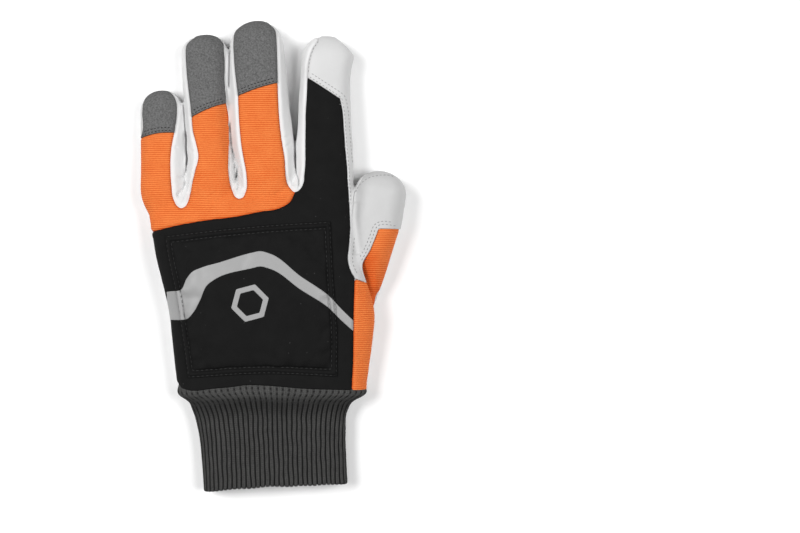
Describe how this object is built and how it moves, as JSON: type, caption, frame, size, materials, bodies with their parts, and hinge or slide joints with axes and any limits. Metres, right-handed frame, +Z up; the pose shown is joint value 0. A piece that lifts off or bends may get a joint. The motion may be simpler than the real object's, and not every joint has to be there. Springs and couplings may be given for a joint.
{
  "type": "chainsaw glove",
  "caption": "Left-hand chainsaw work glove lying palm down: leather palm, stretch back with a stitched saw-protection pad, suede fingertip caps, reflective stripe and a rib-knit cuff.",
  "frame": {"origin": "middle of the glove's footprint, on the surface that it lies on", "axes": "+Y from the cuff to the fingertips, +Z up through the back of the hand, +X to the thumb side"},
  "size_m": [0.1518, 0.2698, 0.033],
  "materials": {
    "white_leather": "smooth grain goat leather, satin",
    "orange_stretch": "fine ribbed stretch knit, matt",
    "grey_suede": "napped suede, matt",
    "black_fabric": "dense smooth stretch fabric, matt",
    "reflective_film": "flat light grey reflective film",
    "rib_knit": "coarse rib knit, matt"
  },
  "bodies": {
    "root": {"palm": "white_leather", "side_strip_little_ring": "white_leather", "side_strip_ring_middle": "white_leather", "side_strip_middle_index": "white_leather", "index_wrap": "white_leather", "thumb_leather": "white_leather", "knuckle_panel": "orange_stretch", "thumb_back": "orange_stretch", "wrist_gusset": "orange_stretch", "tip_cap_little": "grey_suede", "tip_cap_ring": "grey_suede", "tip_cap_middle": "grey_suede", "back_panel": "black_fabric", "saw_pad": "black_fabric", "stripe_little_side": "reflective_film", "stripe_pad": "reflective_film", "stripe_thumb_side": "reflective_film", "badge": "reflective_film", "cuff": "rib_knit"}
  },
  "joints": []
}
